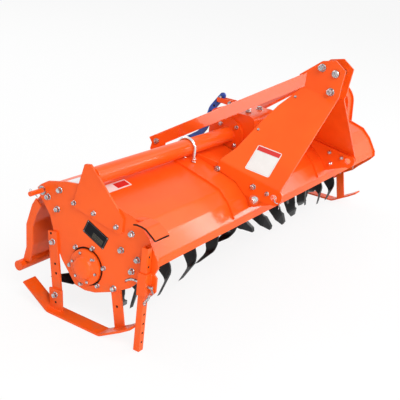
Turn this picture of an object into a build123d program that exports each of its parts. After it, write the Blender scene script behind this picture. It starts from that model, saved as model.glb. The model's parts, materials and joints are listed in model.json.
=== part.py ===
"""Rotavator: a tractor-mounted rotary tiller with a tube frame, an A-frame hitch mast,
a gear-driven blade rotor under a bent hood, and a hinged trailing board.

Millimetres. +X is the machine's right as it faces the tractor from behind, +Y is the
rear, +Z is up. The origin is on the floor, under the middle of the whole machine."""

import os
from math import atan2, cos, degrees, hypot, radians, sin

from build123d import *

os.makedirs("parts", exist_ok=True)

# ---------------------------------------------------------------- driving dimensions
work_width = 2000        # outside to outside of the two side plates
plate_t = 8              # side plates and their brackets
sheet_t = 4              # hood and trailing board
bend_r = 22              # bends in the hood sheet

blade_tip_r = 215        # swing of the blade tips
blade_floor_gap = 6      # blade tips over the floor when parked on the skids
rotor_y = 57             # rotor axis behind the machine's middle

tube_r = 33              # cross tube
tube_wall = 6
tube_rise = 333          # cross tube over the rotor axis

hinge_y = 225            # trailing board hinge, from the rotor axis
hinge_z = 222
hinge_rod_r = 9
knuckle_r = 13
hinge_fit = 0.06         # radial running clearance on the hinge rod

mast_half = 45           # mast head, middle plane to outside face
hitch_half = 378         # mast foot, middle plane to outside face
mast_t = 8
cheek_t = 12
ear_y = -387             # lower link hole, from the rotor axis
ear_z = 215
ear_r = 32
link_hole_r = 14.3
top_hole_r = 12.95       # top link hole through both head plates

half = work_width / 2
rotor_z = blade_tip_r + blade_floor_gap


def side(x):
    """Side-view plane at x: sketch x is rearward and sketch y is up, from the rotor axis."""
    return Plane(origin=(x, rotor_y, rotor_z), x_dir=(0, 1, 0), z_dir=(1, 0, 0))


def parallel(points, distance):
    """The same open outline moved sideways, to the left of its direction, with mitred corners."""
    moved = []
    for i, (y, z) in enumerate(points):
        normals = []
        for a, b in ((i - 1, i), (i, i + 1)):
            if a >= 0 and b < len(points):
                dy, dz = points[b][0] - points[a][0], points[b][1] - points[a][1]
                length = hypot(dy, dz)
                normals.append((-dz / length, dy / length))
        ny = sum(n[0] for n in normals) / len(normals)
        nz = sum(n[1] for n in normals) / len(normals)
        scale = distance / (ny * ny + nz * nz)
        moved.append((y + ny * scale, z + nz * scale))
    return moved


def save(piece, label):
    piece.part.label = label
    export_step(piece.part, f"parts/{label}.step")


# ------------------------------------------------------------------------------ hood
# One bent sheet from the trailing board hinge, over the rotor and down to the front edge.
# Middle of the sheet, (y, z) from the rotor axis, rear to front.
hood_line = [
    (214, 239), (188, 255), (112, 275), (20, 286), (-150, 240),
    (-206, 222), (-249, 183), (-289, 120), (-293, 95),
]
hood_half = half - plate_t
hood_knuckles = [-560, 560]
board_knuckles = [-880, -240, 240, 880]
knuckle_len = 90
gearbox_half = 100
gearbox_y = (-118, 104)       # front and rear faces of the gearbox, from the rotor axis
gearbox_z = (268, 432)        # its underside and top
gearbox_gap = 8


def knuckles(positions, fit, tab):
    """Hinge knuckles on the rod, each with a tab of the given outline to its sheet."""
    with BuildPart() as row:
        for x in positions:
            with BuildSketch(side(x - knuckle_len / 2)):
                with Locations((hinge_y, hinge_z)):
                    RegularPolygon(knuckle_r, 8)
                with BuildLine():
                    Polyline(*tab)
                trace(line_width=sheet_t)
                with Locations((hinge_y, hinge_z)):
                    Circle(hinge_rod_r + fit, mode=Mode.SUBTRACT)
            extrude(amount=knuckle_len)
    return row.part


with BuildPart() as hood:
    with BuildSketch(side(-hood_half)):
        with BuildLine():
            FilletPolyline(*hood_line, radius=bend_r)
        trace(line_width=sheet_t)
    extrude(amount=2 * hood_half)
    # the gearbox and its tube flanges hang through the middle of the hood
    with BuildSketch(Plane.XY.offset(rotor_z + 250)):
        with Locations((0, rotor_y + sum(gearbox_y) / 2)):
            Rectangle(
                2 * (gearbox_half + 14 + gearbox_gap),
                gearbox_y[1] - gearbox_y[0] + 2 * gearbox_gap,
            )
    extrude(amount=60, mode=Mode.SUBTRACT)
    add(knuckles(hood_knuckles, hinge_fit, [(214, 239), (220, 231)]))
save(hood, "hood")

# everything under the top face of the hood, to seat what stands on it
with BuildPart() as under_hood:
    with BuildSketch(side(-hood_half)):
        with BuildLine():
            FilletPolyline(*parallel(hood_line, -sheet_t / 2), radius=bend_r + sheet_t / 2)
            Polyline(parallel(hood_line, -sheet_t / 2)[-1], (0, 0), parallel(hood_line, -sheet_t / 2)[0])
        make_face()
    extrude(amount=2 * hood_half)

# ----------------------------------------------------------------------- side plates
# Outline from the hinge corner over the top to the front, (y, z) from the rotor axis.
plate_top = [
    (249, 227), (233, 243), (200, 264), (118, 284), (22, 297), (-148, 250),
    (-211, 231), (-256, 188), (-298, 121), (-302, 95),
]
plate_plain_front = [(-279, 66)]
plate_stand_lug = [(-289, 68), (-300, 58), (-300, 6), (-284, -14), (-258, -16)]
plate_bottom = [
    (-223, 15), (-196, -14), (-133, -52), (-45, -88), (2, -96), (49, -90),
    (101, -32), (118, -12), (146, 38), (184, 139), (236, 200),
]
hub_hole_r = 72

for hand, sign, front in (("left", -1, plate_stand_lug), ("right", 1, plate_plain_front)):
    with BuildPart() as side_plate:
        with BuildSketch(side(sign * half)):
            with BuildLine():
                Polyline(*plate_top, *front, *plate_bottom, close=True)
            make_face()
            Circle(hub_hole_r, mode=Mode.SUBTRACT)
            with Locations((hinge_y, hinge_z)):
                Circle(hinge_rod_r + 0.3, mode=Mode.SUBTRACT)
            if hand == "left":
                with BuildLine(mode=Mode.PRIVATE) as slot_arc:
                    ThreePointArc((-172, 3), (-199, 21), (-227, 22))
                SlotArc(slot_arc.edge(), 9, mode=Mode.SUBTRACT)
        extrude(amount=-sign * plate_t)
    save(side_plate, f"side_plate_{hand}")

# ------------------------------------------------- cross tube and its left end plate
tube_flange_r = 72
tube_flange_t = 14
tube_end_outline = [
    (30, 374), (4, 379), (-41, 336), (-149, 229), (-149, 180), (-141, 168), (76, 208),
]

with BuildPart() as tube_end_plate:
    with BuildSketch(side(-half)):
        with BuildLine():
            FilletPolyline(*tube_end_outline, radius=8, close=True)
        make_face()
    extrude(amount=-plate_t)
save(tube_end_plate, "tube_end_plate")

for hand, sign in (("left", -1), ("right", 1)):
    with BuildPart() as tube:
        with BuildSketch(side(sign * gearbox_half)):
            with Locations((0, tube_rise)):
                Circle(tube_flange_r)
        extrude(amount=sign * tube_flange_t)
        with BuildSketch(side(sign * gearbox_half)):
            with Locations((0, tube_rise)):
                Circle(tube_r)
        extrude(amount=sign * (half - gearbox_half))
        with BuildSketch(side(sign * gearbox_half)):
            with Locations((0, tube_rise)):
                Circle(tube_r - tube_wall)
        extrude(amount=sign * (half - gearbox_half), mode=Mode.SUBTRACT)
    save(tube, f"cross_tube_{hand}")

# --------------------------------------------------------------------------- gearbox
boss_r = 50
boss_len = 42
shaft_r = 17.45
shaft_free = 92
journal_r = 21
journal_fit = 0.06
journal_depth = 36
gearbox_mid_y = sum(gearbox_y) / 2
gearbox_mid_z = sum(gearbox_z) / 2
gearbox_front = rotor_y + gearbox_y[0]

with BuildPart() as gearbox:
    with BuildSketch(side(-gearbox_half)):
        with Locations((gearbox_mid_y, gearbox_mid_z)):
            RectangleRounded(gearbox_y[1] - gearbox_y[0], gearbox_z[1] - gearbox_z[0], 34)
    extrude(amount=2 * gearbox_half)
    with BuildSketch(Plane.XZ.offset(-gearbox_front)):
        with Locations((0, rotor_z + tube_rise)):
            Circle(boss_r)
    extrude(amount=boss_len)
    with BuildSketch(Plane.XZ.offset(-gearbox_front + boss_len)):
        with Locations((0, rotor_z + tube_rise)):
            Circle(journal_r + journal_fit)
    extrude(amount=-journal_depth - 2, mode=Mode.SUBTRACT)
save(gearbox, "gearbox")

with BuildPart() as gearbox_cover:
    with BuildSketch(Plane.XZ.offset(-(rotor_y + gearbox_y[1]))):
        with Locations((0, rotor_z + gearbox_mid_z)):
            RegularPolygon(69, 8, rotation=22.5)
    extrude(amount=-12)
save(gearbox_cover, "gearbox_cover")

with BuildPart() as input_shaft:
    with BuildSketch(Plane.XZ.offset(-gearbox_front + boss_len - journal_depth)):
        with Locations((0, rotor_z + tube_rise)):
            Circle(journal_r)
    extrude(amount=journal_depth + 4)
    with BuildSketch(Plane.XZ.offset(-gearbox_front + boss_len + 4)):
        with Locations((0, rotor_z + tube_rise)):
            Circle(shaft_r)
    extrude(amount=shaft_free)
save(input_shaft, "input_shaft")

# ------------------------------------------------------- hitch saddles on the hood
saddle_t = 8
saddle_x = (270, 495)         # inner and outer edges, from the middle plane
saddle_line = [(12, 283.8)] + hood_line[4:7] + [(-285.2, 126)]
saddle_top = parallel(saddle_line, -(sheet_t / 2 + saddle_t))

for hand, sign in (("left", -1), ("right", 1)):
    with BuildPart() as saddle:
        with BuildSketch(side(sign * saddle_x[0])):
            with BuildLine():
                FilletPolyline(
                    *parallel(saddle_line, -(sheet_t + saddle_t) / 2),
                    radius=bend_r + (sheet_t + saddle_t) / 2,
                )
            trace(line_width=saddle_t)
        extrude(amount=sign * (saddle_x[1] - saddle_x[0]))
        add(under_hood.part, mode=Mode.SUBTRACT)
    save(saddle, f"hitch_saddle_{hand}")

# everything under the top face of the saddles
with BuildPart() as under_saddle:
    with BuildSketch(side(-saddle_x[1])):
        with BuildLine():
            FilletPolyline(*saddle_top, radius=bend_r + sheet_t / 2 + saddle_t)
            Polyline(saddle_top[-1], (0, 0), saddle_top[0])
        make_face()
    extrude(amount=2 * saddle_x[1])

# ------------------------------------------------------------------------ hitch mast
# Each side is one plate with two parallel folds: upright at the head, sloping outwards,
# then upright again where it is bolted to a cheek that stands on the saddle.
fold_slope = 10.8             # folds run forwards and down
fold_top = 633                # height of the folds over the rotor axis, square to them
fold_bottom = 321
fold_r = 12
head_points = [
    (-262, 640), (-353, 711), (-409, 723), (-457, 688), (-449, 622), (-447, 582), (-439, 562),
]
waist = [(-125, 299), (-165, 352), (-203, 453), (-231, 515), (-286, 592)]
spacer_bolts = [(-357, 684), (-409, 596)]
top_link_hole = (-419, 671)
spacer_r = 12.5
foot_gap = 3                  # mast plate over the saddle
ear_front = (ear_y - ear_r, ear_z)
ear_low = (ear_y + 6, ear_z - ear_r + 1)


def ear_hole():
    with Locations((ear_y, ear_z)):
        Circle(link_hole_r, mode=Mode.SUBTRACT)


cheek_x = hitch_half - mast_t
for hand, sign in (("left", -1), ("right", 1)):
    with BuildPart() as cheek:
        with BuildSketch(side(sign * cheek_x)):
            with BuildLine():
                Polyline((-112, 235), (-250, 165), (-270, 140), ear_low)
                ThreePointArc(ear_low, ear_front, (ear_y - 21, ear_z + 24))
                Polyline((ear_y - 21, ear_z + 24), (-150, 283), (-14, 297), (-14, 262), (-112, 235))
            make_face()
            ear_hole()
        extrude(amount=-sign * cheek_t)
        add(under_saddle.part, mode=Mode.SUBTRACT)
    save(cheek, f"hitch_cheek_{hand}")

fold_dir = (0, -cos(radians(fold_slope)), -sin(radians(fold_slope)))
mast_foot = parallel(saddle_line, -(sheet_t / 2 + saddle_t + foot_gap))
for hand, sign in (("left", -1), ("right", 1)):
    inner = sign * (mast_half - mast_t / 2)
    outer = sign * (hitch_half - mast_t / 2)
    with BuildPart() as mast_plate:
        section_plane = Plane(origin=(0, rotor_y, rotor_z), x_dir=(1, 0, 0), z_dir=fold_dir)
        with BuildSketch(section_plane):
            with BuildLine():
                FilletPolyline(
                    (inner, 800), (inner, fold_top), (outer, fold_bottom), (outer, 200),
                    radius=fold_r,
                )
            trace(line_width=mast_t)
        extrude(amount=700)
        with BuildSketch(side(0)):
            with BuildLine():
                Polyline(*head_points, (ear_y - 22, ear_z + 32))
                ThreePointArc((ear_y - 22, ear_z + 32), ear_front, ear_low)
                Polyline(ear_low, mast_foot[3], mast_foot[2], mast_foot[1], (-118, 262), waist[0])
                Polyline(*waist, head_points[0])
            make_face()
            ear_hole()
            with Locations(top_link_hole):
                Circle(top_hole_r, mode=Mode.SUBTRACT)
        extrude(amount=sign * 500, mode=Mode.INTERSECT)
    save(mast_plate, f"mast_plate_{hand}")

with BuildPart() as mast_spacers:
    with BuildSketch(side(-mast_half + mast_t)):
        with Locations(*spacer_bolts):
            Circle(spacer_r)
    extrude(amount=2 * (mast_half - mast_t))
save(mast_spacers, "mast_spacers")

# ---------------------------------------------------------------------------- braces
# Angle irons from the head down to lugs at the back of the hood, the broad leg upright
# and outwards, the other leg along its lower edge.
brace_w = 50
brace_leg = 28
brace_t = 6
brace_top = (mast_half, -288, 622)        # on the outside face of the head
brace_foot = (350, 204, 298)              # bolt in the lug
brace_tail = 22
lug_t = 10
# along the brace from its bolt (rear positive), and up from it
lug_outline = [
    (8, -58), (24, -34), (11, 25), (-15, 34), (-90, 75), (-90, 24), (-40, -4), (-35, -58),
]

lug_parts = []
for hand, sign in (("left", -1), ("right", 1)):
    top = Vector(sign * brace_top[0], rotor_y + brace_top[1], rotor_z + brace_top[2])
    foot = Vector(sign * brace_foot[0], rotor_y + brace_foot[1], rotor_z + brace_foot[2])
    along = (foot - top).normalized()
    outward = along.cross(Vector(0, 0, 1)).normalized() * sign
    with BuildPart() as brace:
        with BuildSketch(Plane(origin=top - along * 60, x_dir=outward, z_dir=along)) as section:
            down = -1 if section.workplanes[0].y_dir.Z > 0 else 1
            Rectangle(brace_t, brace_w)
            with Locations((brace_t / 2 - brace_leg / 2, down * (brace_w - brace_t) / 2)):
                Rectangle(brace_leg, brace_t)
        extrude(amount=(foot - top).length + 60 + brace_tail)
        split(
            bisect_by=Plane.YZ.offset(sign * mast_half),
            keep=Keep.TOP if sign > 0 else Keep.BOTTOM,
        )
    save(brace, f"brace_{hand}")

    plan = Vector(along.X, along.Y, 0).normalized()
    with BuildPart() as lug:
        lug_face = Plane(origin=foot + outward * brace_t / 2, x_dir=plan, z_dir=outward)
        up = 1 if lug_face.y_dir.Z > 0 else -1
        with BuildSketch(lug_face):
            with BuildLine():
                Polyline(*[(a, up * b) for a, b in lug_outline], close=True)
            make_face()
        extrude(amount=lug_t)
        add(under_hood.part, mode=Mode.SUBTRACT)
    lug_parts.append(lug.part)

with BuildPart() as brace_lugs:
    add(lug_parts)
save(brace_lugs, "brace_lugs")

# ------------------------------------------------------------------- rotor bearing
hub_flange_r = 95
hub_flange_t = 16
stub_r = 25
stub_fit = 0.06
cap_r = 66
cap_proud = 13

with BuildPart() as bearing_housing:
    with BuildSketch(side(-half + plate_t)):
        RegularPolygon(hub_flange_r, 6, rotation=30)
        Circle(stub_r + stub_fit, mode=Mode.SUBTRACT)
    extrude(amount=hub_flange_t)
save(bearing_housing, "bearing_housing")

with BuildPart() as bearing_cap:
    with BuildSketch(side(-half + plate_t)):
        Circle(cap_r)
    extrude(amount=-plate_t - cap_proud)
save(bearing_cap, "bearing_cap")

# ------------------------------------------------------------------- side gear case
case_top_r = 98
case_low_r = 124
case_depth = 56
cover_t = 12
cover_lip = 8

with BuildPart() as gear_case:
    with BuildSketch(side(half)):
        with Locations((0, tube_rise)):
            Circle(case_top_r)
        Circle(case_low_r)
        make_hull()
    extrude(amount=case_depth)
    with BuildSketch(side(half)):
        Circle(stub_r + stub_fit)
    extrude(amount=34, mode=Mode.SUBTRACT)
save(gear_case, "side_gear_case")

with BuildPart() as gear_case_cover:
    with BuildSketch(side(half + case_depth)):
        with Locations((0, tube_rise)):
            Circle(case_top_r + cover_lip)
        Circle(case_low_r + cover_lip)
        make_hull()
    extrude(amount=cover_t)
    chamfer(gear_case_cover.faces().sort_by(Axis.X)[-1].edges(), 4)
save(gear_case_cover, "side_gear_cover")

# ----------------------------------------------------------------------------- skids
skid_w = 60
skid_t = 8
skid_flat = skid_t / 2 - rotor_z
skid_line = [
    (262, skid_flat + 76), (140, skid_flat), (-108, skid_flat),
    (-200, skid_flat + 52), (-240, skid_flat + 78),
]
skid_bend_r = 30
strap_w = 42
strap_t = 8
strap_bolt = (157, 45)        # rear strap to side plate
lug_bolt = (126, skid_flat + 62)   # rear strap to skid lug
front_bolt = (-127, -41)      # front strap to side plate
front_foot = (-158, skid_flat + 27)


def bar(start, end, width, over_start, over_end):
    """Flat bar outline between two bolt centres, with its length past each."""
    dy, dz = end[0] - start[0], end[1] - start[1]
    length = hypot(dy, dz)
    middle = ((start[0] + end[0]) / 2, (start[1] + end[1]) / 2)
    with Locations(Location(middle, degrees(atan2(dz, dy)))):
        with Locations(((over_end - over_start) / 2, 0)):
            Rectangle(length + over_start + over_end, width)


for hand, sign in (("left", -1), ("right", 1)):
    with BuildPart() as skid:
        with BuildSketch(side(sign * (half - plate_t - strap_t))):
            with BuildLine():
                FilletPolyline(*skid_line, radius=skid_bend_r)
            trace(line_width=skid_t)
        extrude(amount=sign * skid_w)
    save(skid, f"skid_{hand}")

    with BuildPart() as straps:
        with BuildSketch(side(sign * half)):
            bar(strap_bolt, lug_bolt, strap_w, 40, 22)
        extrude(amount=sign * strap_t)
        with BuildSketch(side(sign * (half + strap_t))):
            bar(lug_bolt, (120, skid_flat + 2), strap_w + 18, 22, 10)
        extrude(amount=sign * strap_t)
        with BuildSketch(side(sign * (half - plate_t))):
            bar(front_bolt, front_foot, strap_w, 22, 30)
        extrude(amount=-sign * strap_t)
        # the straps end on the top face of the skid
        skid_top = parallel(skid_line, -skid_t / 2)
        with BuildSketch(side(-half - 40)):
            with BuildLine():
                FilletPolyline(*skid_top, radius=skid_bend_r - skid_t / 2)
                Polyline(skid_top[-1], (-300, -400), (300, -400), skid_top[0])
            make_face()
        extrude(amount=2 * half + 80, mode=Mode.SUBTRACT)
    save(straps, f"skid_straps_{hand}")

# -------------------------------------------------------------------- parking stand
stand_y = -263
stand_w = 24
stand_wall = 3
stand_top = 166
stand_floor_gap = 1
sleeve_wall = 4
sleeve_play = 0.5
sleeve_z = (-8, 75)
sleeve_w = stand_w + 2 * (sleeve_play + sleeve_wall)
stand_x = -(half + sleeve_w / 2)
stand_pin_r = 5.5
stand_pin_z = 28


def from_above(z):
    """Plan-view plane at height z over the rotor axis, on the stand's own axis."""
    return Plane(origin=(stand_x, rotor_y + stand_y, rotor_z + z))


with BuildPart() as stand_sleeve:
    with BuildSketch(from_above(sleeve_z[0])):
        Rectangle(sleeve_w, sleeve_w)
        Rectangle(stand_w + 2 * sleeve_play, stand_w + 2 * sleeve_play, mode=Mode.SUBTRACT)
    extrude(amount=sleeve_z[1] - sleeve_z[0])
save(stand_sleeve, "stand_sleeve")

with BuildPart() as parking_stand:
    with BuildSketch(from_above(-rotor_z + stand_floor_gap)):
        Rectangle(stand_w, stand_w)
        Rectangle(stand_w - 2 * stand_wall, stand_w - 2 * stand_wall, mode=Mode.SUBTRACT)
    extrude(amount=rotor_z - stand_floor_gap + stand_top)
save(parking_stand, "parking_stand")

sleeve_face = rotor_y + stand_y - sleeve_w / 2
with BuildPart() as stand_pin:
    with BuildSketch(Plane.XZ.offset(-sleeve_face)):
        with Locations((stand_x, rotor_z + stand_pin_z)):
            Circle(stand_pin_r)
    extrude(amount=18)
save(stand_pin, "stand_pin")

# a bent cap over the top of the stand, its rear end on the edge of the side plate
guard_t = 4
guard_half_w = 37
guard_x = -half - 46
guard_line = parallel([(-160.6, 246.2), (-192.1, 236.7)], -guard_t / 2) + [
    (-236, 247), (-272, 243), (-312, 215),
]
with BuildPart() as stand_guard:
    with BuildSketch(side(guard_x)):
        with BuildLine():
            FilletPolyline(*guard_line, radius=18)
        trace(line_width=guard_t)
    extrude(amount=2 * guard_half_w)
    # outside the side plate only its front half is left
    with BuildSketch(side(guard_x - 1)):
        with Locations((-192, 240)):
            Rectangle(80, 60)
    extrude(amount=-half - guard_x + 1, mode=Mode.SUBTRACT)
save(stand_guard, "stand_guard")

# ----------------------------------------------------------------------------- rotor
core_r = 38
core_half = 940
flange_r = 96                 # over the corners of the six-sided flanges
flange_t = 10
flange_pitch = 225
flange_count = 9
blades_per_side = 3
phase_start = -25             # turn of the first flange's left-hand blade from upright
phase_step = 18               # turn from one flange to the next
right_hand_turn = 50.5        # from a left-hand blade on to the next right-hand one
blade_t = 8
blade_bend_at = 0.727         # where the bend begins, as a share of the tip swing
blade_bend_angle = 66
blade_bend_steps = 2
blade_bend_r = 23
strip_end = 100               # strip past the bend, longer than the blade's outline

with BuildPart() as rotor_shaft:
    with BuildSketch(side(-core_half)):
        Circle(core_r)
    extrude(amount=2 * core_half)
    with BuildSketch(side(-half + plate_t)):
        Circle(stub_r)
    extrude(amount=2 * half - plate_t + 30)
save(rotor_shaft, "rotor_shaft")

flange_x = [(i - (flange_count - 1) / 2) * flange_pitch for i in range(flange_count)]
with BuildPart() as rotor_flanges:
    for x in flange_x:
        with BuildSketch(side(x - flange_t / 2)):
            RegularPolygon(flange_r, 6)
            Circle(core_r, mode=Mode.SUBTRACT)
        extrude(amount=flange_t)
save(rotor_flanges, "rotor_flanges")

# One blade, upright: a broad shank that narrows and sweeps to one side like a claw, bent
# sideways near its end. Each row is a share of the tip swing and the two edges of the
# blade there, front and rear of the upright line.
blade_edges = [
    (0.288, -33, 50), (0.512, -40, 35), (0.698, -51, 11), (0.824, -63, -15), (0.916, -86, -68),
]


def make_blade(sign):
    """The blade's claw outline, cut from a strip that is bent to the given side."""
    front = [(y, share * blade_tip_r) for share, y, _ in blade_edges]
    rear = [(y, share * blade_tip_r) for share, _, y in blade_edges]
    bend_z = blade_bend_at * blade_tip_r
    outside, inside = [(0, 0)], [(blade_t, 0)]
    for step in range(blade_bend_steps + 1):
        turn = radians(blade_bend_angle * step / blade_bend_steps)
        for line, r in ((outside, blade_bend_r), (inside, blade_bend_r - blade_t)):
            line.append((blade_bend_r - r * cos(turn), bend_z + r * sin(turn)))
    lean = radians(blade_bend_angle)
    for line in (outside, inside):
        x, z = line[-1]
        line.append((x + strip_end * sin(lean), z + strip_end * cos(lean)))
    with BuildPart() as blade:
        with BuildSketch(Plane.YZ):
            with BuildLine():
                Polyline(*front, *reversed(rear), close=True)
            make_face()
        extrude(amount=blade_tip_r, both=True)
        with BuildSketch(Plane.XZ):
            with BuildLine():
                Polyline(*[(sign * x, z) for x, z in outside + inside[::-1]], close=True)
            make_face()
        extrude(amount=blade_tip_r, both=True, mode=Mode.INTERSECT)
    return blade.part


for hand, sign in (("left", -1), ("right", 1)):
    blade = make_blade(sign)
    with BuildPart() as blades:
        for i, x in enumerate(flange_x):
            for k in range(blades_per_side):
                turn = phase_start + i * phase_step + k * 360 / blades_per_side
                turn += right_hand_turn if sign > 0 else 0
                with Locations(Location((x + sign * flange_t / 2, rotor_y, rotor_z), (turn, 0, 0))):
                    add(blade)
    save(blades, f"blades_{hand}_hand")

# -------------------------------------------------------------------- trailing board
# Middle of the sheet, (y, z) from the rotor axis, hinge to bottom.
board_line = [(237, 203), (281, 148), (307, 62), (303, -30), (319, -96)]
end_plate_t = 6
board_half = half - 2 * plate_t
board_bend_r = 40
board_tube_r = 20
board_tube_at = (323, -108)

with BuildPart() as hinge_rod:
    with BuildSketch(side(-half - 62)):
        with Locations((hinge_y, hinge_z)):
            Circle(hinge_rod_r)
    extrude(amount=2 * half + 62 + 20)
save(hinge_rod, "hinge_rod")

with BuildPart() as board:
    with BuildSketch(side(-board_half)):
        with BuildLine():
            FilletPolyline(*board_line, radius=board_bend_r)
        trace(line_width=sheet_t)
        with Locations(board_tube_at):
            Circle(board_tube_r, mode=Mode.SUBTRACT)
    extrude(amount=2 * board_half)
    add(knuckles(board_knuckles, hinge_fit, [(231, 214), (239, 201)]))
save(board, "trailing_board")

# crescent plates close the ends of the board
end_outer = [(266, 176), (283, 148), (309, 62), (305, -30), (320, -90)]
end_inner = [(284, -84), (273, -12), (276, 62), (262, 112), (240, 152)]
with BuildPart() as board_ends:
    for sign in (-1, 1):
        with BuildSketch(side(sign * board_half)):
            with BuildLine():
                Polyline(*end_outer, *end_inner, close=True)
            make_face()
            with Locations(board_tube_at):
                Circle(board_tube_r, mode=Mode.SUBTRACT)
        extrude(amount=sign * end_plate_t)
save(board_ends, "board_end_plates")

with BuildPart() as board_tube:
    with BuildSketch(side(-half - 10)):
        with Locations(board_tube_at):
            Circle(board_tube_r)
    extrude(amount=2 * half + 20)
save(board_tube, "board_edge_tube")

# ------------------------------------------------------------- trailing board gauge bar
bar_w = 28
bar_t = 8
bar_pivot = (272, 226)
bar_path = [bar_pivot, (209, 269), (183, 306), (160, 398), (111, 466)]
bar_pivot_r = 6
bar_fit = 0.06
lug_gap = 2
lug_w = 7
guide_gap = 5
guide_w = 8
stop_at = (113.5, 462)
stop_r = 5                    # across the flats, halved

with BuildPart() as gauge_bar:
    with BuildSketch(side(-bar_t / 2)):
        with BuildLine():
            FilletPolyline(*bar_path, radius=60)
        trace(line_width=bar_w)
        with Locations(bar_path[0], bar_path[-1]):
            Circle(bar_w / 2)
        with Locations(bar_pivot):
            Circle(bar_pivot_r + bar_fit, mode=Mode.SUBTRACT)
    extrude(amount=bar_t)
save(gauge_bar, "gauge_bar")

# a cross bolt near the top of the bar rests on the guide and stops the board from dropping
with BuildPart() as stop_bolt:
    for sign in (-1, 1):
        with BuildSketch(side(sign * bar_t / 2)):
            with Locations(stop_at):
                RegularPolygon(stop_r, 6, major_radius=False)
        extrude(amount=sign * (guide_gap + guide_w))
save(stop_bolt, "stop_bolt")

with BuildPart() as bar_lug:
    for sign in (-1, 1):
        with BuildSketch(side(sign * (bar_t / 2 + lug_gap))):
            with BuildLine():
                Polyline(
                    (238, 199), (258, 169), (278, 200), (286, 218), (284, 236), (268, 241),
                    (256, 234), close=True,
                )
            make_face()
            with Locations(bar_pivot):
                Circle(bar_pivot_r, mode=Mode.SUBTRACT)
            with BuildLine():
                FilletPolyline(*board_line[:3], radius=board_bend_r)
            trace(line_width=sheet_t, mode=Mode.SUBTRACT)
            with BuildLine():
                Polyline((200, 245), board_line[0], board_line[1], (200, 100), close=True)
            make_face(mode=Mode.SUBTRACT)
        extrude(amount=sign * lug_w)
save(bar_lug, "bar_lug")

with BuildPart() as bar_pin:
    with BuildSketch(side(-bar_t / 2 - lug_gap - lug_w - 6)):
        with Locations(bar_pivot):
            Circle(bar_pivot_r)
    extrude(amount=bar_t + 2 * (lug_gap + lug_w + 6))
save(bar_pin, "bar_pin")

# two cheeks on the gearbox, with the bar between them
rest_gap = 0.5
guide_top = stop_at[1] - stop_r - rest_gap
with BuildPart() as bar_guide:
    for sign in (-1, 1):
        with BuildSketch(side(sign * (bar_t / 2 + guide_gap))):
            with BuildLine():
                Polyline(
                    (0, gearbox_z[1]), (60, gearbox_z[1]), (130, 438), (130, guide_top),
                    (50, guide_top), close=True,
                )
            make_face()
        extrude(amount=sign * guide_w)
save(bar_guide, "bar_guide")
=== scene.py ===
import json
from math import ceil, cos, pi, radians, sin

import bmesh
import bpy
from mathutils import Matrix, Vector


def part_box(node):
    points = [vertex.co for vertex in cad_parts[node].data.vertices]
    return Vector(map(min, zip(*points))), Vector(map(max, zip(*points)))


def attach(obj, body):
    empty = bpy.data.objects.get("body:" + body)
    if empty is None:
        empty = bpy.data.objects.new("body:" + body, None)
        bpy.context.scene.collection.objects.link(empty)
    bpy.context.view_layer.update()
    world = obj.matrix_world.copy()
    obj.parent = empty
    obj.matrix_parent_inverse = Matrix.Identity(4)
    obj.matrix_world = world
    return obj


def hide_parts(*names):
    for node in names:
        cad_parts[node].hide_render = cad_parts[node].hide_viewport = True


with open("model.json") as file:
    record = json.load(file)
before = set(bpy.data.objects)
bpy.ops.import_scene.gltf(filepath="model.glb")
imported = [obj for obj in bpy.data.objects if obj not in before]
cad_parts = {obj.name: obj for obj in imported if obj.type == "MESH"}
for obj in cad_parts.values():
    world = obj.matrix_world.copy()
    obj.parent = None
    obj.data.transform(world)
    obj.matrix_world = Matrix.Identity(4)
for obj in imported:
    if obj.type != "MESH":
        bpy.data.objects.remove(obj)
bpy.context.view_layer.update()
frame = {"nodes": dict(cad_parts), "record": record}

nodes = frame["nodes"]

# ------------------------------------------------------------------ place of the parts
# The rotor turns in the two side plates, and every dimension of the machine is taken
# from its axis and from the cross tube above it.
rotor_low, rotor_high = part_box("rotor_shaft")
ROTOR_Y = (rotor_low.y + rotor_high.y) / 2
ROTOR_Z = (rotor_low.z + rotor_high.z) / 2


def at(x, y, z):
    """A point given in millimetres from the middle plane and the rotor axis."""
    return Vector((x / 1000, y / 1000 + ROTOR_Y, z / 1000 + ROTOR_Z))


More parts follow.
